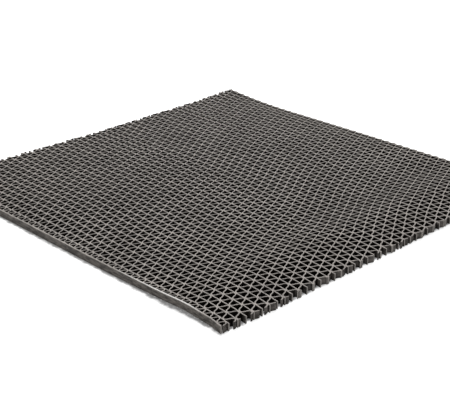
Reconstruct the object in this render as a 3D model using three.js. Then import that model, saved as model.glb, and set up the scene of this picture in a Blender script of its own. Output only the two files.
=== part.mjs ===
// An open-web vinyl door mat, lying flat on the floor with its tread up.
//
// The mat is a sheet of ribbons that all stand on edge and are bonded to each other where they
// touch. Straight ribs run the length of the mat. Between each rib and the next, a zigzag ribbon
// is bonded to both, so the sheet is a field of open triangular cells. One side is closed by a
// solid edge strip with a narrow row of small cells beside it, the side across from it by the
// last rib, and the two ends are cut straight across the ribs.
//
// Frame: +Z up, X along the ribs, Y across them. The origin is at the middle of the underside.
// The edge strip is at -Y. Units are millimetres.
//
// Each row of the web is one mesh: a rib with the zigzag ribbon bonded to its near side, as the
// closed outer form of the two. The ends of a row follow the zigzag where the cut leaves it.
import * as THREE from "three";

// Driving dimensions.
const MAT_LENGTH = 600;
const MAT_WIDTH = 600;
const MAT_THICKNESS = 10;
const EDGE_STRIP_THICKNESS = 2.5;
const SELVAGE_ROW_WIDTH = 10;
const WEB_ROWS = 47;
const RIB_THICKNESS = 1.9;
const BOND_GAP = 0.3; // left between neighbouring meshes, where the real ribbons are fused

// Derived dimensions.
const NEAR_SIDE = -MAT_WIDTH / 2;
const CUT_END = MAT_LENGTH / 2;
const WEB_START = NEAR_SIDE + EDGE_STRIP_THICKNESS + SELVAGE_ROW_WIDTH;
const ROW_PITCH = (MAT_WIDTH / 2 - WEB_START) / WEB_ROWS;
const ZIGZAG_DEPTH = ROW_PITCH - RIB_THICKNESS - BOND_GAP;
const LEAST_NOTCH = 1; // a shorter open corner is left square

// The zigzags of neighbouring rows are about half a period out of step, so their crests meet in
// stars across the rib between them. The step wanders slowly from row to row, as the ribbons
// did when they were laid down. Each wave is [height in periods, length in rows, row where it
// starts].
const FIRST_STEP = -0.02;
const STEP_PER_ROW = 0.564;
const STEP_WAVES = [
  [0.31, 25, 17.6],
  [0.09, 13.4, 7.5],
  [0.15, 44, -7],
];
const STEP_PLACE = 0.35; // share of the length, from the +X end, where those steps hold

// The rows farther from the edge strip hold more zigzags: each gain is [half of it, the row in
// its middle, its spread in rows]. Every row is also more crowded where the sheet is pulled.
const ZIGZAGS_PER_LENGTH = 39;
const MORE_ZIGZAGS = [
  [0.7, 23.5, 1.2],
  [0.4, 37.5, 1],
];
const CROWDED = { gained: 1.1, first: -0.75, start: 0.06, width: 0.56 };

const vinyl = new THREE.MeshStandardMaterial({
  color: 0x5a5550,
  roughness: 0.6,
  metalness: 0,
});
const edgeVinyl = new THREE.MeshStandardMaterial({
  color: 0x4c4742,
  roughness: 0.5,
  metalness: 0,
});

const mat = new THREE.Group();
mat.name = "door_mat";

// An outline in plan, drawn counter-clockwise from [x, y] points, raised to the mat's thickness.
function slabFromOutline(points) {
  const outline = new THREE.Shape(points.map(([x, y]) => new THREE.Vector2(x, y)));
  return new THREE.ExtrudeGeometry(outline, {
    depth: MAT_THICKNESS,
    bevelEnabled: false,
  });
}

function addPiece(name, geometry, material) {
  const piece = new THREE.Mesh(geometry, material);
  piece.name = name;
  mat.add(piece);
}

// How many zigzags a row would hold if none of it were crowded.
function zigzagsInRow(row) {
  let zigzags = ZIGZAGS_PER_LENGTH;
  for (const [gain, middle, spread] of MORE_ZIGZAGS) {
    zigzags += gain * (1 + Math.tanh((row - middle) / spread));
  }
  return zigzags;
}

// Zigzags counted along a row from its +X end, at a share of its length; a whole number is a
// crest on the near rib and a half is a crest on the far rib.
function zigzagCount(row, share) {
  let count = FIRST_STEP + STEP_PER_ROW * row + zigzagsInRow(row) * (share - STEP_PLACE);
  for (const [height, length, start] of STEP_WAVES) {
    count += height * Math.sin((2 * Math.PI * (row - start)) / length);
  }
  const crowded = THREE.MathUtils.smoothstep(share, CROWDED.start, CROWDED.start + CROWDED.width);
  return count + CROWDED.first + CROWDED.gained * crowded;
}

// How far the open corner between the near rib and the zigzag runs in from a cut end.
function notchLength(row, end) {
  const count = zigzagCount(row, end > 0 ? 0 : 1);
  const toCrest = end > 0 ? Math.ceil(count) - count : count - Math.floor(count);
  const length = (toCrest * MAT_LENGTH) / zigzagsInRow(row);
  return toCrest < 0.5 && length > LEAST_NOTCH ? length : 0;
}

// A corner of a row's outline at one end: square, or cut back along the zigzag.
function nearCorner(row, end, near) {
  const length = notchLength(row, end);
  if (length === 0) return [[end * CUT_END, near]];
  const depth = (2 * ZIGZAG_DEPTH * length * zigzagsInRow(row)) / MAT_LENGTH;
  const corner = [
    [end * CUT_END, near + depth],
    [end * (CUT_END - length), near],
  ];
  return end > 0 ? corner.reverse() : corner;
}

function edgeStrip() {
  return new THREE.BoxGeometry(MAT_LENGTH, EDGE_STRIP_THICKNESS, MAT_THICKNESS).translate(
    0,
    NEAR_SIDE + EDGE_STRIP_THICKNESS / 2,
    MAT_THICKNESS / 2,
  );
}

function selvageRow() {
  const near = NEAR_SIDE + EDGE_STRIP_THICKNESS + BOND_GAP;
  return slabFromOutline([
    [-CUT_END, near],
    [CUT_END, near],
    [CUT_END, WEB_START],
    [-CUT_END, WEB_START],
  ]);
}

function webRow(row) {
  const near = WEB_START + (row - 1) * ROW_PITCH + BOND_GAP;
  const far = WEB_START + row * ROW_PITCH;
  return slabFromOutline([
    ...nearCorner(row, -1, near),
    ...nearCorner(row, 1, near),
    [CUT_END, far],
    [-CUT_END, far],
  ]);
}

addPiece("edge_strip", edgeStrip(), edgeVinyl);
addPiece("selvage_row", selvageRow(), vinyl);
for (let row = 1; row <= WEB_ROWS; row += 1) {
  addPiece(`web_row_${String(row).padStart(2, "0")}`, webRow(row), vinyl);
}

export default mat;
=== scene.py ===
"""Open-web vinyl door mat: the looks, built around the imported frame.

The mat is a sheet of ribbons that stand on edge and are bonded where they touch. Straight ribs
run along X. A zigzag ribbon lies between each rib and the next, bonded to both by its crests.
The -Y side is closed by a solid edge strip with a narrow selvage row beside it, the +Y side by
the last rib, and the +X and -X ends are cut across the ribs. Metres, +Z up.
"""

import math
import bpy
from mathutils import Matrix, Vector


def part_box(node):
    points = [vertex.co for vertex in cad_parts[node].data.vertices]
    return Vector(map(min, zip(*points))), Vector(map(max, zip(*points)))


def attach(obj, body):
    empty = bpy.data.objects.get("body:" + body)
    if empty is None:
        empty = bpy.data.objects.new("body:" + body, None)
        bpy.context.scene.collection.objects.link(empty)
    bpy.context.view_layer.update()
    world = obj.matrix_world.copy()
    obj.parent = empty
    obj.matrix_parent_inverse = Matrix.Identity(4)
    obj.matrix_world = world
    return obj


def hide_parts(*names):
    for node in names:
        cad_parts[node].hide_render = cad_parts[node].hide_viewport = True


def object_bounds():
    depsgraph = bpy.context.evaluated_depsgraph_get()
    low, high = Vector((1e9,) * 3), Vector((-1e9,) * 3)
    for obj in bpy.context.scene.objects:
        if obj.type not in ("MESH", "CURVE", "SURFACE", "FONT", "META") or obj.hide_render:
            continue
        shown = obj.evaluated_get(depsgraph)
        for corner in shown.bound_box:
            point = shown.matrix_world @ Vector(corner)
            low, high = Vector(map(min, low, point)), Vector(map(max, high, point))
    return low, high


bl_info = {
    "name": "Open-Web Door Mat",
    "version": (1, 0, 0),
    "blender": (4, 5, 0),
    "location": "3D View > Sidebar > Door Mat",
    "description": "Builds an open-web vinyl door mat from straight ribs and zigzag ribbons",
    "category": "Object",
}

import bpy
import numpy as np
from bpy.props import FloatProperty, FloatVectorProperty, PointerProperty
from mathutils import Matrix, Vector

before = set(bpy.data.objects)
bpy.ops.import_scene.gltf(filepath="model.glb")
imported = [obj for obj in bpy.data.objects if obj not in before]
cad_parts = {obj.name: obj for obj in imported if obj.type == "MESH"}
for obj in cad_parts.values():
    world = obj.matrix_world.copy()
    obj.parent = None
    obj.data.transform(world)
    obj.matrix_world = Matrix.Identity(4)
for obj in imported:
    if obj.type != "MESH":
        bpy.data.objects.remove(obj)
CAD_BOX = [list(corner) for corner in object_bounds()]

LOW, HIGH = (Vector(corner) for corner in CAD_BOX)
LENGTH, WIDTH, HEIGHT = HIGH - LOW
STRIP_LOW, STRIP_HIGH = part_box("edge_strip")
SELVAGE_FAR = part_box("selvage_row")[1].y
ROW_NODES = sorted(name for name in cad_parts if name.startswith("web_row_"))
ROW_FAR = [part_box(name)[1].y for name in ROW_NODES]

MILLIMETRE = 0.001
SMOOTH_BELOW = math.radians(38)  # edges of a ribbon that bend less than this are shaded smooth
LEAST_RUN = 0.75  # least share of a ribbon's direction that the slide of its cut end counts on

# A cut face lies this near the end of the mat, and its normal has at least this share along X.
CUT_REACH = 4 * MILLIMETRE
CUT_SQUARE = 0.985

# Points along a ribbon.
STRIP_POINTS = 200
RIB_POINTS = 240
ZIGZAG_POINTS = 801
SELVAGE_POINTS = 1001

# Bows along a straight ribbon.
STRIP_BOWS = 5.0
RIB_BOWS = 34.0

# The seeds of the ribbons: the ribs count from 0, and the zigzags from the first of these.
ZIGZAG_SEED = 100
SELVAGE_SEED = 200
STRIP_SEED = 900

# How the zigzags of one row are stepped from those of the next: zigzags counted from the +X end,
# a whole number for a crest on the near rib.
FIRST_STEP = -0.02
STEP_PER_ROW = 0.564
STEP_WAVES = ((0.31, 25, 17.6), (0.09, 13.4, 7.5), (0.15, 44, -7))  # height, rows, first row
STEP_PLACE = 0.35
ZIGZAGS_PER_LENGTH = 39.0
MORE_ZIGZAGS = ((0.7, 23.5, 1.2), (0.4, 37.5, 1.0))  # half the gain, row, spread in rows
CROWDING = (1.15, -0.84, 0.06, 0.56)  # zigzags gained, at the +X end, from this share, over this
SELVAGE_ZIGZAGS = 51.0
SELVAGE_FIRST_COUNT = 0.2
UNEVEN_PER_ZIGZAG = 0.45  # changes of the unevenness for each zigzag


# ---------------------------------------------------------------- sizes and colours


class DoorMatWeb(bpy.types.PropertyGroup):
    """The ribbons that make the web"""

    rib_thickness: FloatProperty(
        name="Rib Thickness",
        description="Thickness of a straight rib",
        default=1.7 * MILLIMETRE,
        unit="LENGTH",
        precision=4,
    )
    zigzag_thickness: FloatProperty(
        name="Zigzag Thickness",
        description="Thickness of a zigzag ribbon",
        default=1.45 * MILLIMETRE,
        unit="LENGTH",
        precision=4,
    )
    bond_depth: FloatProperty(
        name="Bond Depth",
        description="How far a zigzag's crest is fused into the rib it touches",
        default=0.35 * MILLIMETRE,
        unit="LENGTH",
        precision=5,
    )
    edge_round: FloatProperty(
        name="Edge Round",
        description="Radius of a ribbon's long edges",
        default=0.32 * MILLIMETRE,
        unit="LENGTH",
        precision=5,
    )
    crest_fullness: FloatProperty(
        name="Crest Fullness",
        description="Near 0 is a plain wave; more has broader crests and steeper strands",
        default=1.6,
        min=0.05,
        max=5.0,
    )
    strand_lean: FloatProperty(
        name="Strand Lean",
        description="How much more the strands that run one way curve than the others",
        default=0.02,
    )
    step_jitter: FloatProperty(
        name="Step Jitter",
        description="Unevenness of the zigzags along a row, in periods",
        default=0.05,
    )
    rib_wander: FloatProperty(
        name="Rib Wander",
        description="How far a rib bows between the crests that touch it",
        default=0.25 * MILLIMETRE,
        unit="LENGTH",
        precision=5,
    )
    strip_round: FloatProperty(
        name="Strip Round",
        description="Radius of the edge strip's long edges",
        default=0.5 * MILLIMETRE,
        unit="LENGTH",
        precision=5,
    )
    strip_wander: FloatProperty(
        name="Strip Wander",
        description="How far the edge strip bows from side to side",
        default=0.3 * MILLIMETRE,
        unit="LENGTH",
        precision=5,
    )
    strip_allowance: FloatProperty(
        name="Strip Allowance",
        description="How far the edge strip runs on past its nominal length at the +X cut",
        default=1.5 * MILLIMETRE,
        unit="LENGTH",
        precision=4,
    )
    stub_width: FloatProperty(
        name="Stub Width",
        description="How far the trimmed crests stand out from the last rib",
        default=2.5 * MILLIMETRE,
        unit="LENGTH",
        precision=4,
    )
    cut_allowance: FloatProperty(
        name="Cut Allowance",
        description="How far the ribbons run on past their nominal length at the +X cut",
        default=2.6 * MILLIMETRE,
        unit="LENGTH",
        precision=4,
    )
    cut_raggedness: FloatProperty(
        name="Cut Raggedness",
        description="How far the cut ends of the ribbons differ",
        default=0.7 * MILLIMETRE,
        unit="LENGTH",
        precision=4,
    )


class DoorMatLie(bpy.types.PropertyGroup):
    """How the flexible sheet lies on the floor"""

    cut_ridge: FloatProperty(
        name="Cut Ridge",
        description="How far the sheet arches off the floor just inside the +X cut",
        default=2.1 * MILLIMETRE,
        unit="LENGTH",
        precision=4,
    )
    strip_hump: FloatProperty(
        name="Strip Hump",
        description="How far the sheet arches off the floor beside the edge strip",
        default=2.6 * MILLIMETRE,
        unit="LENGTH",
        precision=4,
    )
    strip_proud: FloatProperty(
        name="Strip Stands Proud",
        description="How far the edge strip rides up past the web near the +X cut",
        default=1.9 * MILLIMETRE,
        unit="LENGTH",
        precision=4,
    )
    far_arch: FloatProperty(
        name="Far Arch",
        description="How far the sheet arches off the floor along the far side",
        default=4.5 * MILLIMETRE,
        unit="LENGTH",
        precision=4,
    )
    corner_curl: FloatProperty(
        name="Corner Curl",
        description="How far the back corner curls up",
        default=7.5 * MILLIMETRE,
        unit="LENGTH",
        precision=4,
    )
    pull: FloatProperty(
        name="Pull",
        description="How far the middle of the web is pulled toward the front corner",
        default=9.6 * MILLIMETRE,
        unit="LENGTH",
        precision=4,
    )
    sag: FloatProperty(
        name="Sag",
        description="How far the cut edge at +X slumps toward the front corner",
        default=3.3 * MILLIMETRE,
        unit="LENGTH",
        precision=4,
    )


class DoorMatFinish(bpy.types.PropertyGroup):
    """Colours of the vinyl, some with painted light and shade in them"""

    # Painted shade: the walls are painted near black, darker than the vinyl itself, for the shade
    # inside the open cells.
    web: FloatVectorProperty(
        name="Web",
        description="Side walls of the ribbons",
        default=(0.0142, 0.0102, 0.0076),
        subtype="COLOR",
    )
    # Partly painted light: the top edges are lightened by wear and also by a painted sheen that
    # stands in for the glancing highlight on them.
    tread: FloatVectorProperty(
        name="Tread",
        description="Top edges of the ribbons, dulled by wear",
        default=(0.43, 0.396, 0.366),
        subtype="COLOR",
    )
    # Partly painted light: the cut ends are pale from the cut and painted paler still for the
    # light on faces that face +X.
    cut: FloatVectorProperty(
        name="Cut",
        description="Ends of the ribbons where the sheet was cut",
        default=(0.45, 0.42, 0.39),
        subtype="COLOR",
    )
    # Painted light: the strip's face is painted paler than the same vinyl's walls, as a lit copy
    # for the light that falls on it.
    strip: FloatVectorProperty(
        name="Edge Strip",
        description="Face of the solid edge strip",
        default=(0.15, 0.136, 0.123),
        subtype="COLOR",
    )
    # Painted light: the outer walls are painted paler than the cell walls, as lit walls outside
    # the painted shade of the cells.
    outer: FloatVectorProperty(
        name="Outer Walls",
        description="Side walls of the ribbons around the outside of the web",
        default=(0.11, 0.099, 0.09),
        subtype="COLOR",
    )
    # Painted highlight: a near-white rim on the strip's top edge near the +X cut, standing in for
    # light glancing off it.
    rim: FloatVectorProperty(
        name="Rim",
        description="Scuffed top edge of the strip near the +X cut",
        default=(0.93, 0.91, 0.88),
        subtype="COLOR",
    )


class DoorMatStage(bpy.types.PropertyGroup):
    """Floor, light and camera"""

    sky: FloatProperty(
        name="Sky",
        description="Strength of the white surround",
        default=0.3,
    )
    key: FloatProperty(
        name="Key Light",
        description="Strength of the soft light behind the mat",
        default=2.3,
    )
    lens: FloatProperty(
        name="Lens",
        description="Focal length on a 36 mm sensor, in millimetres",
        default=84.2,
    )


# ---------------------------------------------------------------- node trees


class Value:
    """A socket of a graph; arithmetic on it adds Math nodes."""

    def __init__(self, graph, socket):
        self.graph = graph
        self.socket = socket

    def math(self, operation, *others, clamp=False):
        settings = {"operation": operation, "use_clamp": clamp}
        return self.graph.add("ShaderNodeMath", settings, self, *others)

    def clamped(self):
        """The value held between 0 and 1."""
        return self.math("ADD", 0.0, clamp=True)

    def output(self, name):
        """Another output of the node that gives this value."""
        return Value(self.graph, self.socket.node.outputs[name])

    def __add__(self, other):
        return self.math("ADD", other)

    def __sub__(self, other):
        return self.math("SUBTRACT", other)

    def __mul__(self, other):
        return self.math("MULTIPLY", other)

    def __truediv__(self, other):
        return self.math("DIVIDE", other)

    def __rsub__(self, other):
        return self.graph.add("ShaderNodeMath", {"operation": "SUBTRACT"}, other, self)

    def __rtruediv__(self, other):
        return self.graph.add("ShaderNodeMath", {"operation": "DIVIDE"}, other, self)

    __radd__ = __add__
    __rmul__ = __mul__


class Graph:
    """A node tree that is written as expressions."""

    def __init__(self, tree):
        self.tree = tree
        self.given = {}

    def add(self, kind, settings=None, *values, out=0, **named):
        """A node of a type, its settings set first, then its sockets by place or by name."""
        node = self.tree.nodes.new(kind)
        for name, setting in (settings or {}).items():
            setattr(node, name, setting)
        places = [(place, value) for place, value in enumerate(values) if value is not None]
        places += [(name.replace("_", " "), value) for name, value in named.items()]
        for place, value in places:
            if isinstance(value, Value):
                self.tree.links.new(value.socket, node.inputs[place])
            else:
                node.inputs[place].default_value = value
        return Value(self, node.outputs[out])

    def end(self, kind, last):
        """Ends the tree with an output node of a type, fed by the last value."""
        self.tree.links.new(last.socket, self.tree.nodes.new(kind).inputs[0])


def geometry_graph(name, sizes):
    """A Geometry Nodes tree with these named inputs, each {name: socket kind}."""
    tree = bpy.data.node_groups.new(name, "GeometryNodeTree")
    for label, kind in sizes.items():
        tree.interface.new_socket(label, in_out="INPUT", socket_type="NodeSocket" + kind)
    tree.interface.new_socket("Mesh", in_out="OUTPUT", socket_type="NodeSocketGeometry")
    graph = Graph(tree)
    for socket in tree.nodes.new("NodeGroupInput").outputs:
        graph.given[socket.name] = Value(graph, socket)
    return graph


def close_tree(graph, mesh, material):
    """Ends a tree: real geometry with its material on."""
    real = graph.add("GeometryNodeRealizeInstances", None, mesh)
    dressed = graph.add("GeometryNodeSetMaterial", None, real, Material=material)
    graph.end("NodeGroupOutput", dressed)
    return graph.tree


RIBBON_SIZES = {
    "Start X": "Float",
    "End X": "Float",
    "Near Y": "Float",
    "Far Y": "Float",
    "Thickness": "Float",
    "Height": "Float",
    "Edge Round": "Float",
    "Points": "Int",
    "Seed": "Float",
    "Material": "Material",
}


def path_along_row(graph):
    """A line of points along a row from its start to its end, halfway up the ribbon."""
    given = graph.given
    middle = given["Height"] * 0.5
    start = graph.add("ShaderNodeCombineXYZ", None, given["Start X"], given["Near Y"], middle)
    end = graph.add("ShaderNodeCombineXYZ", None, given["End X"], given["Near Y"], middle)
    line = graph.add("GeometryNodeCurvePrimitiveLine", None, start, end)
    return graph.add(
        "GeometryNodeResampleCurve", {"mode": "COUNT"}, line, Count=given["Points"]
    )


def store(graph, geometry, name, value, kind="FLOAT"):
    """Keeps a value on the points under a name."""
    settings = {"data_type": kind, "domain": "POINT"}
    return graph.add(
        "GeometryNodeStoreNamedAttribute", settings, geometry, Name=name, Value=value
    )


def recall(graph, name, kind="FLOAT"):
    """The value kept on the points under a name."""
    return graph.add("GeometryNodeInputNamedAttribute", {"data_type": kind}, name)


def ribbon_on_edge(graph, path):
    """Sweeps an upright ribbon along a path, with both ends cut square to the X axis."""
    given = graph.given
    share = graph.add("GeometryNodeSplineParameter")
    end = graph.add("GeometryNodeCurveEndpointSelection", None, 1, 1)
    path = graph.add("GeometryNodeSetCurveNormal", {"mode": "Z_UP"}, path)
    path = store(graph, path, "share", share)
    path = store(graph, path, "at_end", end)
    path = store(graph, path, "run", graph.add("GeometryNodeInputTangent"), "FLOAT_VECTOR")

    outline = graph.add(
        "GeometryNodeCurvePrimitiveQuadrilateral", None, given["Thickness"], given["Height"]
    )
    outline = graph.add(
        "GeometryNodeFilletCurve", {"mode": "POLY"}, outline, 1, given["Edge Round"]
    )
    ribbon = graph.add("GeometryNodeCurveToMesh", None, path, outline, Fill_Caps=True)

    # The last ring at each end slides along the ribbon toward the plane of the cut. The ribbons
    # run toward -X. One that runs nearly along the plane slides only part of the way.
    reach = given["End X"] - given["Start X"]
    cut = given["Start X"] + reach * recall(graph, "share")
    run = recall(graph, "run", "FLOAT_VECTOR")
    run_x = graph.add("ShaderNodeSeparateXYZ", None, run).math("MINIMUM", -LEAST_RUN)
    place = graph.add("ShaderNodeSeparateXYZ", None, graph.add("GeometryNodeInputPosition"))
    slide = (cut - place) / run_x * recall(graph, "at_end")
    slid = graph.add("ShaderNodeVectorMath", {"operation": "SCALE"}, run, Scale=slide)
    ribbon = graph.add("GeometryNodeSetPosition", None, ribbon, Offset=slid)

    level = graph.add("ShaderNodeSeparateXYZ", None, graph.add("GeometryNodeInputPosition"))
    ribbon = store(graph, ribbon, "ribbon_height", level.output("Z") / given["Height"])
    for name in ("share", "at_end", "run"):
        ribbon = graph.add("GeometryNodeRemoveAttribute", None, ribbon, name)
    return close_tree(graph, ribbon, given["Material"])


def wander(graph, place, seed, scale):
    """A slow random number along a row, mostly between -1 and 1."""
    noise = graph.add(
        "ShaderNodeTexNoise",
        {"noise_dimensions": "2D"},
        graph.add("ShaderNodeCombineXYZ", None, place, seed, 0.0),
        Scale=scale,
        Detail=1.0,
    )
    return (noise - 0.5) * 3.0


def straight_ribbon_tree():
    """A ribbon that runs straight along a row, bowing a little from side to side."""
    sizes = {**RIBBON_SIZES, "Wander": "Float", "Bows": "Float"}
    graph = geometry_graph("Straight ribbon", sizes)
    given = graph.given
    share = graph.add("GeometryNodeSplineParameter")
    sway = wander(graph, share, given["Seed"], given["Bows"]) * given["Wander"]
    offset = graph.add("ShaderNodeCombineXYZ", None, 0.0, sway, 0.0)
    path = graph.add("GeometryNodeSetPosition", None, path_along_row(graph), Offset=offset)
    return ribbon_on_edge(graph, path)


def zigzag_ribbon_tree():
    """A ribbon that zigzags with rounded crests between two ribs."""
    sizes = {
        **RIBBON_SIZES,
        "First Count": "Float",
        "Zigzags": "Float",
        "Crest Fullness": "Float",
        "Lean": "Float",
        "Jitter": "Float",
    }
    graph = geometry_graph("Zigzag ribbon", sizes)
    given = graph.given
    place = graph.add("ShaderNodeSeparateXYZ", None, graph.add("GeometryNodeInputPosition"))
    share = (HIGH.x - place) / LENGTH
    bumps = given["Zigzags"] * UNEVEN_PER_ZIGZAG
    uneven = wander(graph, share, given["Seed"], bumps) * given["Jitter"]
    gained, first, start, width = CROWDING
    crowded = ((share - start) / width).math("MAXIMUM", 0.0).math("MINIMUM", 1.0)
    crowded = crowded * crowded * (3.0 - 2.0 * crowded) * gained + first
    count = given["First Count"] + given["Zigzags"] * share + uneven + crowded
    turn = count * math.tau
    fullness = given["Crest Fullness"]
    crest = (turn.math("COSINE") * fullness).math("TANH") / fullness.math("TANH")
    lean = (turn * 2.0).math("SINE") * given["Lean"]
    across = (0.5 - crest * 0.5 + lean) * (given["Far Y"] - given["Near Y"])
    offset = graph.add("ShaderNodeCombineXYZ", None, 0.0, across, 0.0)
    path = graph.add("GeometryNodeSetPosition", None, path_along_row(graph), Offset=offset)
    return ribbon_on_edge(graph, path)


# ---------------------------------------------------------------- materials

# Noise, in features for each metre.
CLOUD_SCALE = 14.0
SMEAR_SCALE = 160.0
GRAIN_SCALE = 1400.0

WEAR_AND_SHEEN_FROM = 0.93  # share of a ribbon's height where its top edge, lightened by wear and by a painted sheen, starts
WEAR_AND_SHEEN_GAIN = 22.0
CUT_COVER = 0.8  # how far the pale colour of a fresh cut, partly painted light, covers the vinyl's own

# The outside of the web, in metres from the middle of the mat.
OUTSIDE_FROM = 0.2985
OUTSIDE_FADE = 3 * MILLIMETRE

# The stretch of the strip's rim with a painted highlight: where it starts and ends in X, and how
# fast it fades.
RIM_START, RIM_FADE_IN = 0.11, 14.0
RIM_END, RIM_FADE_OUT = 0.27, 40.0


def material_graph(name):
    """A new material with an empty node tree, and the graph of that tree."""
    material = bpy.data.materials.new(name)
    material.use_nodes = True
    material.node_tree.nodes.clear()
    return material, Graph(material.node_tree)


def mix_colours(graph, share, low, high):
    """low where share is 0 and high where it is 1."""
    # The last sockets of a Mix node are its two colours and the mixed one.
    node = graph.add("ShaderNodeMix", {"data_type": "RGBA"}, share, out=2)
    for place, colour in ((6, low), (7, high)):
        socket = node.socket.node.inputs[place]
        if isinstance(colour, Value):
            graph.tree.links.new(colour.socket, socket)
        else:
            socket.default_value = (*colour, 1.0)
    return node


def mottled(graph, share, colour, low, high):
    """A colour times low where share is 0, and times high where it is 1."""
    dark, pale = ([channel * times for channel in colour] for times in (low, high))
    return mix_colours(graph, share, dark, pale)


def vinyl(
    name,
    walls,
    tread,
    cut,
    roughness,
    streaks=(1.0, 1.0, 1.0),
    rim=None,
    outer=None,
    mottle=0.3,
):
    """Flexible vinyl: walls painted near black as painted shade, top edges dulled and lightened by
    wear and lightened by a painted sheen, and pale cut ends, partly painted light.

    rim, if given, is the colour of a painted highlight on the top edge near the +X cut, and
    outer the paler colour of the walls around the outside of the mat, outside the cells' painted
    shade.
    """
    material, graph = material_graph(name)
    place = graph.add("ShaderNodeTexCoord", out="Object")
    stretched = graph.add("ShaderNodeMapping", None, place, Scale=streaks)
    level = graph.add("ShaderNodeAttribute", {"attribute_name": "ribbon_height"}, out="Fac")
    pale_cut_faces = graph.add("ShaderNodeAttribute", {"attribute_name": "cut_face"}, out="Fac")

    cloud = graph.add("ShaderNodeTexNoise", None, place, Scale=CLOUD_SCALE, Detail=3.0)
    smear = graph.add("ShaderNodeTexNoise", None, stretched, Scale=SMEAR_SCALE, Detail=4.0)
    grain = graph.add("ShaderNodeTexNoise", None, stretched, Scale=GRAIN_SCALE, Detail=2.0)

    # The top edge: wear, and a painted sheen that stands in for its glancing highlight.
    wear_and_sheen = ((level - WEAR_AND_SHEEN_FROM) * WEAR_AND_SHEEN_GAIN).math("ADD", (smear - 0.5) * 0.9, clamp=True)
    smeared = (smear * 4.0 - 1.5).clamped()
    # Painted shade: for the web these walls are painted near black for the shade in the cells; for
    # the strip this is its face, painted paler as lit.
    walls_colour = mottled(graph, smeared, walls, 1 - mottle, 1 + mottle)
    # Outside the web the walls take the paler, lit colour; inside, the painted shade of the cells.
    if outer:
        along = graph.add("ShaderNodeSeparateXYZ", None, place)
        reach = along.math("ABSOLUTE").math("MAXIMUM", along.output("Y"))
        outside = ((reach - OUTSIDE_FROM) / OUTSIDE_FADE).math("ADD", smear - 0.5, clamp=True)
        outer_mottle = (cloud + smear * 3.0 - 1.5).clamped()
        outer_colour = mottled(graph, outer_mottle, outer, 0.45, 1.75)
        walls_colour = mix_colours(graph, outside, walls_colour, outer_colour)
    # Mottle of the top edge: uneven wear, and painted glints on the crests.
    wear_and_glints = (cloud + smear * 2.0 - 1.0).clamped()
    tread_colour = mottled(graph, wear_and_glints, tread, 0.74, 1.3)
    # Painted highlight on the strip's rim near the +X cut.
    if rim:
        along = graph.add("ShaderNodeSeparateXYZ", None, place)
        rim_highlight_mask = ((along - RIM_START) * RIM_FADE_IN).clamped()
        rim_highlight_mask = rim_highlight_mask * ((RIM_END - along) * RIM_FADE_OUT).clamped()
        tread_colour = mix_colours(graph, rim_highlight_mask, tread_colour, rim)
    colour = mix_colours(graph, wear_and_sheen, walls_colour, tread_colour)
    # Cut ends: pale from the cut, and partly painted light.
    colour = mix_colours(graph, pale_cut_faces * CUT_COVER, colour, cut)

    relief = smear * 0.5 + grain * 0.5
    bump = graph.add(
        "ShaderNodeBump", None, Strength=0.35, Distance=0.2 * MILLIMETRE, Height=relief
    )
    shader = graph.add(
        "ShaderNodeBsdfPrincipled",
        None,
        Base_Color=colour,
        Specular_IOR_Level=0.15,
        Roughness=roughness + (smear - 0.5) * 0.25 + wear_and_sheen * 0.06,
        Normal=bump,
    )
    graph.end("ShaderNodeOutputMaterial", shader)
    return material


def web_vinyl():
    """The vinyl of the ribs and zigzags, made once and shared."""
    finish = bpy.context.scene.door_mat_finish
    name = "ribbon_vinyl"
    return bpy.data.materials.get(name) or vinyl(
        name, finish.web, finish.tread, finish.cut, 0.42, outer=finish.outer
    )


def strip_vinyl():
    """The vinyl of the edge strip: painted paler as lit, streaked along its length, with a painted
    highlight on its rim.
    """
    finish = bpy.context.scene.door_mat_finish
    return vinyl(
        "edge_strip_vinyl",
        finish.strip,
        finish.tread,
        finish.cut,
        roughness=0.4,
        streaks=(0.7, 2.2, 2.2),
        rim=finish.rim,
        mottle=0.5,
    )


# ---------------------------------------------------------------- the lie of the sheet

# Places are shares: along is 0 at the +X cut and 1 at the -X cut, and across is 0 at the edge
# strip and 1 at the far side. A ridge has its middle and its spread; a swell has where it starts,
# reaches its top, leaves it, and ends; a slope has where it starts and its length, and one that
# falls has where it ends and its length.
CUT_RIDGE_ALONG = (0.095, 0.048)
STRIP_HUMP_ALONG = (0.36, 0.6, 0.6, 0.88)
STRIP_HUMP_ACROSS = (-0.02, 0.1, 0.12, 0.42)
FAR_ARCH_ALONG = (0.1, 0.45)
FAR_ARCH_ACROSS = (0.47, 0.88, 0.93, 1.03)
FAR_ARCH_LEAST = 0.35  # what is left of the far arch at the +X cut
STRIP_PROUD_ALONG = (0.15, 0.12)
STRIP_PROUD_ACROSS = 0.016
CORNER_CURL_ALONG = (0.76, 0.24)
CORNER_CURL_ACROSS = (0.84, 0.16)
PULL_ALONG = (0.115, 0.24, 0.27, 0.63)
PULL_FULL_ACROSS = 0.7  # grows to its full length by here
PULL_END_ACROSS = (1.02, 0.15)  # and fades toward the far side
SAG_ALONG = (0.034, 0.046)
SAG_ACROSS = 0.06


def smooth_step(share):
    """0 up to 0 and 1 from 1, with an S curve between them."""
    share = np.clip(share, 0, 1)
    return share * share * (3 - 2 * share)


def ridge(place, middle, spread):
    """1 at the middle, falling off smoothly to both sides."""
    return np.exp(-(((place - middle) / spread) ** 2))


def slope(place, start, length):
    """0 at the start and 1 a length farther on."""
    return (place - start) / length


def swell(place, start, top, back, end):
    """0 up to start, 1 from top to back, and 0 again from end."""
    return smooth_step((place - start) / (top - start)) * smooth_step((end - place) / (end - back))


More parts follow.
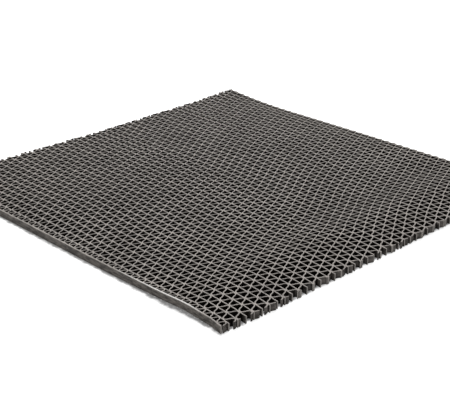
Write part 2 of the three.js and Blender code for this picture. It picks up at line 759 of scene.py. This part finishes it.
def lift_off_floor(along, across, lie):
    """How far the sheet stands off the floor at each place."""
    strip_side = swell(along, *STRIP_HUMP_ALONG) * swell(across, *STRIP_HUMP_ACROSS)
    growth = (1 - FAR_ARCH_LEAST) * smooth_step(slope(along, *FAR_ARCH_ALONG))
    far_side = swell(across, *FAR_ARCH_ACROSS) * (FAR_ARCH_LEAST + growth)
    proud = ridge(along, *STRIP_PROUD_ALONG) * smooth_step(1 - across / STRIP_PROUD_ACROSS)
    curl = np.clip(slope(along, *CORNER_CURL_ALONG), 0, 1) ** 2
    curl = curl * np.clip(slope(across, *CORNER_CURL_ACROSS), 0, 1) ** 1.5
    return (
        lie.cut_ridge * ridge(along, *CUT_RIDGE_ALONG)
        + lie.strip_hump * strip_side
        + lie.far_arch * far_side
        + lie.corner_curl * curl
        + lie.strip_proud * proud
    )


def lay_on_floor(mesh):
    """Moves a flat ribbon's points to where the flexible sheet lies."""
    lie = bpy.context.scene.door_mat_lie
    points = np.empty(len(mesh.vertices) * 3, np.float32)
    mesh.vertices.foreach_get("co", points)
    points = points.reshape(-1, 3).astype(float)
    along = (HIGH.x - points[:, 0]) / LENGTH
    across = (points[:, 1] - LOW.y) / WIDTH
    pull = lie.pull * swell(along, *PULL_ALONG)
    pull *= np.sin(math.pi / 2 * np.clip(across / PULL_FULL_ACROSS, 0, 1))
    pull *= smooth_step((PULL_END_ACROSS[0] - across) / PULL_END_ACROSS[1])
    sag = lie.sag * smooth_step((SAG_ALONG[0] - along) / SAG_ALONG[1])
    points[:, 0] += pull + sag * smooth_step(across / SAG_ACROSS)
    points[:, 1] -= pull + sag
    points[:, 2] += lift_off_floor(along, across, lie)
    mesh.vertices.foreach_set("co", points.astype(np.float32).ravel())
    mesh.update()


def mark_cut_faces(mesh):
    """Marks the end faces that the cut across the ribs left."""
    normals = np.empty(len(mesh.polygons) * 3, np.float32)
    middles = np.empty(len(mesh.polygons) * 3, np.float32)
    mesh.polygons.foreach_get("normal", normals)
    mesh.polygons.foreach_get("center", middles)
    end = np.abs(middles[0::3]) > LENGTH / 2 - CUT_REACH
    square = np.abs(normals[0::3]) > CUT_SQUARE
    sides = np.empty(len(mesh.polygons), np.int32)
    mesh.polygons.foreach_get("loop_total", sides)
    cap = sides > 4  # the walls of a swept ribbon are all four-sided
    cut = mesh.attributes.new("cut_face", "FLOAT", "FACE")
    cut.data.foreach_set("value", (end & square & cap).astype(np.float32))


def grow(name, tree, sizes):
    """The plain mesh object that a tree makes with these sizes, lying as the sheet lies."""
    piece = bpy.data.objects.new(name, bpy.data.meshes.new(name))
    bpy.context.scene.collection.objects.link(piece)
    modifier = piece.modifiers.new("Build", "NODES")
    modifier.node_group = tree
    sockets = {item.name: item.identifier for item in tree.interface.items_tree}
    for label, size in sizes.items():
        modifier[sockets[label]] = size
    depsgraph = bpy.context.evaluated_depsgraph_get()
    mesh = bpy.data.meshes.new_from_object(piece.evaluated_get(depsgraph))
    piece.modifiers.remove(modifier)
    piece.data = mesh
    mesh.name = name
    mark_cut_faces(mesh)
    lay_on_floor(mesh)
    mesh.shade_smooth()
    mesh.set_sharp_from_angle(angle=SMOOTH_BELOW)
    return piece


def place_on_frame(piece, slot, *nodes):
    """Ties a finished piece to the mat's one body and hides the frame's nodes that it stands for.
    The slot is not used.
    """
    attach(piece, "root")
    if nodes:
        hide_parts(*nodes)


# ---------------------------------------------------------------- rows of ribbons


def zigzags_in_row(row):
    """How many zigzags a row holds where it isn't crowded; the far rows hold more."""
    zigzags = ZIGZAGS_PER_LENGTH
    for gain, middle, spread in MORE_ZIGZAGS:
        zigzags += gain * (1 + math.tanh((row - middle) / spread))
    return zigzags


def first_count(row):
    """Where a row's zigzag stands at its +X end."""
    count = FIRST_STEP + STEP_PER_ROW * row - zigzags_in_row(row) * STEP_PLACE
    for height, length, start in STEP_WAVES:
        count += height * math.sin(math.tau * (row - start) / length)
    return count


def ragged_ends(seed):
    """The X of a ribbon's two cut ends."""
    web = bpy.context.scene.door_mat_web
    start, end = np.random.default_rng(seed).uniform(-1, 0.3, 2)
    start = web.cut_allowance + start * web.cut_raggedness
    return HIGH.x + start, LOW.x - end * web.cut_raggedness


def rib_middles():
    """The Y of each rib's middle: the selvage rib, then the ribs of the rows."""
    thickness = bpy.context.scene.door_mat_web.rib_thickness
    return [far - thickness / 2 for far in (SELVAGE_FAR, *ROW_FAR)]


def ribbon_sizes(seed, near, far, thickness, points, material):
    """The inputs that the tree of every ribbon takes."""
    start, end = ragged_ends(seed)
    return {
        "Start X": start,
        "End X": end,
        "Near Y": near,
        "Far Y": far,
        "Thickness": thickness,
        "Height": HEIGHT,
        "Edge Round": bpy.context.scene.door_mat_web.edge_round,
        "Points": points,
        "Seed": float(seed),
        "Material": material,
    }


# ---------------------------------------------------------------- operators


class DOORMAT_OT_edge_strip(bpy.types.Operator):
    """Build the solid strip that closes the near side"""

    bl_idname = "door_mat.edge_strip"
    bl_label = "Edge Strip"

    def execute(self, context):
        web = context.scene.door_mat_web
        middle = (STRIP_LOW.y + STRIP_HIGH.y) / 2
        thickness = STRIP_HIGH.y - STRIP_LOW.y
        sizes = ribbon_sizes(STRIP_SEED, middle, middle, thickness, STRIP_POINTS, strip_vinyl())
        sizes |= {
            "Start X": HIGH.x + web.strip_allowance,
            "Edge Round": web.strip_round,
            "Wander": web.strip_wander,
            "Bows": STRIP_BOWS,
        }
        strip = grow("edge_strip_vinyl", straight_ribbon_tree(), sizes)
        place_on_frame(strip, "edge_vinyl", "edge_strip")
        return {"FINISHED"}


class DOORMAT_OT_straight_ribs(bpy.types.Operator):
    """Build the straight ribs: one beside the selvage and one on the far side of each row"""

    bl_idname = "door_mat.straight_ribs"
    bl_label = "Straight Ribs"

    def execute(self, context):
        web = context.scene.door_mat_web
        tree = straight_ribbon_tree()
        names = ["selvage_rib"] + [node.replace("web_row", "straight_rib") for node in ROW_NODES]
        nodes = ["selvage_row", *ROW_NODES]
        for seed, (name, node, middle) in enumerate(zip(names, nodes, rib_middles())):
            sizes = ribbon_sizes(
                seed, middle, middle, web.rib_thickness, RIB_POINTS, web_vinyl()
            )
            sizes |= {"Wander": web.rib_wander, "Bows": RIB_BOWS}
            place_on_frame(grow(name, tree, sizes), "web_vinyl", node)
        return {"FINISHED"}


class DOORMAT_OT_zigzag_ribbons(bpy.types.Operator):
    """Build the zigzag ribbon of each row, and the small one of the selvage"""

    bl_idname = "door_mat.zigzag_ribbons"
    bl_label = "Zigzag Ribbons"

    def execute(self, context):
        web = context.scene.door_mat_web
        tree = zigzag_ribbon_tree()
        crest = (web.rib_thickness + web.zigzag_thickness) / 2 - web.bond_depth
        ribs = rib_middles()
        shape = {"Crest Fullness": web.crest_fullness, "Lean": web.strand_lean}
        for row, node in enumerate(ROW_NODES, 1):
            near, far = ribs[row - 1] + crest, ribs[row] - crest
            sizes = ribbon_sizes(
                ZIGZAG_SEED + row, near, far, web.zigzag_thickness, ZIGZAG_POINTS, web_vinyl()
            )
            sizes |= {
                **shape,
                "First Count": first_count(row),
                "Zigzags": zigzags_in_row(row),
                "Jitter": web.step_jitter,
            }
            name = node.replace("web_row", "zigzag_ribbon")
            place_on_frame(grow(name, tree, sizes), "web_vinyl", node)

        near = STRIP_HIGH.y + web.zigzag_thickness / 2 - web.bond_depth
        far = ribs[0] - crest
        sizes = ribbon_sizes(
            SELVAGE_SEED, near, far, web.zigzag_thickness, SELVAGE_POINTS, web_vinyl()
        )
        sizes |= {
            **shape,
            "First Count": SELVAGE_FIRST_COUNT,
            "Zigzags": SELVAGE_ZIGZAGS,
            "Jitter": web.step_jitter,
        }
        place_on_frame(grow("selvage_zigzag", tree, sizes), "web_vinyl", "selvage_row")
        return {"FINISHED"}


class DOORMAT_OT_trimmed_crests(bpy.types.Operator):
    """Leave the crests of the next row on the last rib, where the sheet was trimmed to width"""

    bl_idname = "door_mat.trimmed_crests"
    bl_label = "Trimmed Crests"

    def execute(self, context):
        web = context.scene.door_mat_web
        row = len(ROW_NODES) + 1
        near = HIGH.y + web.zigzag_thickness / 2 - web.bond_depth
        far = near + web.stub_width
        sizes = ribbon_sizes(
            ZIGZAG_SEED + row, near, far, web.zigzag_thickness, ZIGZAG_POINTS, web_vinyl()
        )
        sizes |= {
            "Crest Fullness": web.crest_fullness,
            "Lean": 0.0,
            "First Count": first_count(row),
            "Zigzags": zigzags_in_row(row),
            "Jitter": web.step_jitter * 2,
        }
        place_on_frame(grow("trimmed_crests", zigzag_ribbon_tree(), sizes), "web_vinyl")
        return {"FINISHED"}


FLOOR_HALF = 6.0
FLOOR_GAP = 0.2 * MILLIMETRE  # between the floor and the lowest edges of the mat

# The floor's glow for the camera: least under the mat, most beside it, with an uneven edge. The
# dim, patchy edge is a painted contact shadow under the mat.
GLOW_UNDER = 0.12
GLOW_BESIDE = 0.75
GLOW_FROM = 0.3005  # metres from the middle of the mat
GLOW_GAIN = 250.0
PATCH_SCALE = 90.0
PATCH_DEPTH = 0.012

KEY_ANGLE = math.radians(36)
KEY_TOWARD = Vector((1.0, -0.9, -1.5))

CAMERA_PLACE = (1.0191, -0.995, 0.5804)
CAMERA_TURN = math.radians(45.774)
CAMERA_TILT = math.radians(90 - 22.93)
CAMERA_ROLL = math.radians(0.24)


class DOORMAT_OT_stage(bpy.types.Operator):
    """Set the pale floor, the soft light and the camera"""

    bl_idname = "door_mat.stage"
    bl_label = "Stage"

    def execute(self, context):
        stage = context.scene.door_mat_stage
        self.add_floor()
        self.add_world(stage)
        self.add_key_light(stage)
        self.add_camera(stage)
        context.scene.view_settings.view_transform = "Standard"
        return {"FINISHED"}

    def add_floor(self):
        half, level = FLOOR_HALF, LOW.z - FLOOR_GAP
        mesh = bpy.data.meshes.new("floor")
        corners = [(-half, -half, level), (half, -half, level), (half, half, level)]
        mesh.from_pydata([*corners, (-half, half, level)], [], [(0, 1, 2, 3)])
        floor = bpy.data.objects.new("floor", mesh)
        bpy.context.scene.collection.objects.link(floor)
        material, graph = material_graph("white_floor")
        seen = graph.add("ShaderNodeLightPath", out="Is Camera Ray")
        place = graph.add("ShaderNodeTexCoord", out="Object")
        shadow_patches = graph.add("ShaderNodeTexNoise", None, place, Scale=PATCH_SCALE, Detail=2.0)
        along = graph.add("ShaderNodeSeparateXYZ", None, place)
        reach = along.math("ABSOLUTE").math("MAXIMUM", along.output("Y").math("ABSOLUTE"))
        # Painted shadow: the glow drops under the mat, with a patchy edge, for the contact shadow.
        beside = (reach - GLOW_FROM + (shadow_patches - 0.5) * PATCH_DEPTH) * GLOW_GAIN
        glow = GLOW_UNDER + beside.clamped() * (GLOW_BESIDE - GLOW_UNDER)
        shader = graph.add(
            "ShaderNodeBsdfPrincipled",
            None,
            Base_Color=(0.93, 0.93, 0.93, 1),
            Roughness=0.9,
            Emission_Color=mix_colours(graph, seen * glow, (0, 0, 0), (1, 1, 1)),
            Emission_Strength=1.0,
        )
        graph.end("ShaderNodeOutputMaterial", shader)
        mesh.materials.append(material)

    def add_world(self, stage):
        world = bpy.data.worlds.new("white_surround")
        world.use_nodes = True
        world.node_tree.nodes.clear()
        graph = Graph(world.node_tree)
        seen = graph.add("ShaderNodeLightPath", out="Is Camera Ray")
        strength = seen * (1 - stage.sky) + stage.sky
        background = graph.add("ShaderNodeBackground", None, (1, 1, 1, 1), strength)
        graph.end("ShaderNodeOutputWorld", background)
        bpy.context.scene.world = world

    def add_key_light(self, stage):
        light = bpy.data.lights.new("key", "SUN")
        light.angle = KEY_ANGLE
        light.energy = stage.key
        key = bpy.data.objects.new("key", light)
        key.rotation_euler = KEY_TOWARD.to_track_quat("-Z", "Y").to_euler()
        bpy.context.scene.collection.objects.link(key)

    def add_camera(self, stage):
        data = bpy.data.cameras.new("camera")
        data.lens = stage.lens
        data.sensor_width = 36.0
        camera = bpy.data.objects.new("camera", data)
        turn = Matrix.Rotation(CAMERA_TURN, 4, "Z")
        tilt = Matrix.Rotation(CAMERA_TILT, 4, "X")
        roll = Matrix.Rotation(CAMERA_ROLL, 4, "Z")
        camera.matrix_world = Matrix.Translation(CAMERA_PLACE) @ turn @ tilt @ roll
        bpy.context.scene.collection.objects.link(camera)
        bpy.context.scene.camera = camera


class DOORMAT_PT_panel(bpy.types.Panel):
    """Sidebar panel with the settings of the mat and the buttons that build it"""

    bl_idname = "DOORMAT_PT_panel"
    bl_label = "Door Mat"
    bl_space_type = "VIEW_3D"
    bl_region_type = "UI"
    bl_category = "Door Mat"

    def draw(self, context):
        layout = self.layout
        for group in GROUPS:
            box = layout.box()
            settings = getattr(context.scene, group)
            for name in settings.__annotations__:
                box.prop(settings, name)
        for operator in OPERATORS:
            layout.operator(operator.bl_idname)


GROUPS = {
    "door_mat_web": DoorMatWeb,
    "door_mat_lie": DoorMatLie,
    "door_mat_finish": DoorMatFinish,
    "door_mat_stage": DoorMatStage,
}
OPERATORS = (
    DOORMAT_OT_stage,
    DOORMAT_OT_edge_strip,
    DOORMAT_OT_straight_ribs,
    DOORMAT_OT_zigzag_ribbons,
    DOORMAT_OT_trimmed_crests,
)


def register():
    for cls in (*GROUPS.values(), *OPERATORS, DOORMAT_PT_panel):
        bpy.utils.register_class(cls)
    for name, group in GROUPS.items():
        setattr(bpy.types.Scene, name, PointerProperty(type=group))


def unregister():
    for name in GROUPS:
        delattr(bpy.types.Scene, name)
    for cls in (DOORMAT_PT_panel, *reversed(OPERATORS), *GROUPS.values()):
        bpy.utils.unregister_class(cls)


def main():
    register()
    bpy.ops.door_mat.stage()
    bpy.ops.door_mat.edge_strip()
    bpy.ops.door_mat.straight_ribs()
    bpy.ops.door_mat.zigzag_ribbons()
    bpy.ops.door_mat.trimmed_crests()


if __name__ == "__main__":
    main()
